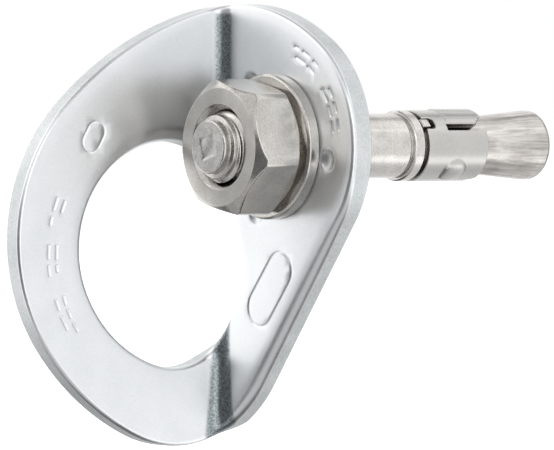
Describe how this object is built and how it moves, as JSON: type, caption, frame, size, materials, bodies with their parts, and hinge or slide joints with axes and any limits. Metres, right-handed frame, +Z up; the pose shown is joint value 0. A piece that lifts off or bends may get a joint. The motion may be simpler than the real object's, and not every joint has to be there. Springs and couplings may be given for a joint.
{
  "type": "roof anchor",
  "caption": "Bent steel plate with a large attachment eye, held on an expansion anchor stud by a hex nut and a flat washer.",
  "frame": {"origin": "centre of the plate's bolt hole on the face that rests on the wall", "axes": "+Y along the stud into the wall, +Z up, +X to the right seen from the front"},
  "size_m": [0.0345, 0.0788, 0.061],
  "materials": {
    "plate_steel": "tumbled satin stainless",
    "nut_steel": "machined stainless",
    "stud_steel": "cold formed and rolled stainless",
    "clip_steel": "smooth rolled stainless sheet"
  },
  "bodies": {
    "stud": {"anchor_stud": "stud_steel"},
    "washer": {"flat_washer": "nut_steel"},
    "nut": {"hex_nut": "nut_steel"},
    "hanger": {"hanger_plate": "plate_steel"},
    "clip": {"clip_band": "clip_steel"},
    "leaf_upper": {"clip_leaf_upper": "clip_steel"},
    "leaf_rear": {"clip_leaf_rear": "clip_steel"},
    "leaf_lower": {"clip_leaf_lower": "clip_steel"}
  },
  "joints": [
    {"name": "washer_slide", "type": "slide", "parent": "stud", "child": "washer", "axis": [0, 1, 0], "range_m": [-0.0099, 0.0045]},
    {"name": "nut_turn", "type": "hinge", "parent": "washer", "child": "nut", "pos_m": [0, -0.0093, 0], "axis": [0, 1, 0], "range_deg": [-2377, 1081]},
    {"name": "hanger_swivel", "type": "hinge", "parent": "washer", "child": "hanger", "pos_m": [0, -0.0017, 0], "axis": [0, 1, 0], "continuous": true},
    {"name": "clip_slide", "type": "slide", "parent": "stud", "child": "clip", "axis": [0, 1, 0], "range_m": [-0.0002, 0.003]},
    {"name": "leaf_upper_flex", "type": "hinge", "parent": "clip", "child": "leaf_upper", "pos_m": [-0.00023, 0.0237, 0.00447], "axis": [0.9986, 0, 0.0523], "range_deg": [-0.3, 3.2]},
    {"name": "leaf_rear_flex", "type": "hinge", "parent": "clip", "child": "leaf_rear", "pos_m": [-0.00375, 0.0237, -0.00244], "axis": [-0.5446, 0, 0.8387], "range_deg": [-0.3, 3.2]},
    {"name": "leaf_lower_flex", "type": "hinge", "parent": "clip", "child": "leaf_lower", "pos_m": [0.00399, 0.0237, -0.00203], "axis": [-0.454, 0, -0.891], "range_deg": [-0.3, 3.2]}
  ],
  "couplings": [
    {"joint": "nut_turn", "follows": "washer_slide", "rad_per_m": 4188.8},
    {"joint": "leaf_upper_flex", "follows": "clip_slide", "rad_per_m": 18},
    {"joint": "leaf_rear_flex", "follows": "clip_slide", "rad_per_m": 18},
    {"joint": "leaf_lower_flex", "follows": "clip_slide", "rad_per_m": 18}
  ]
}
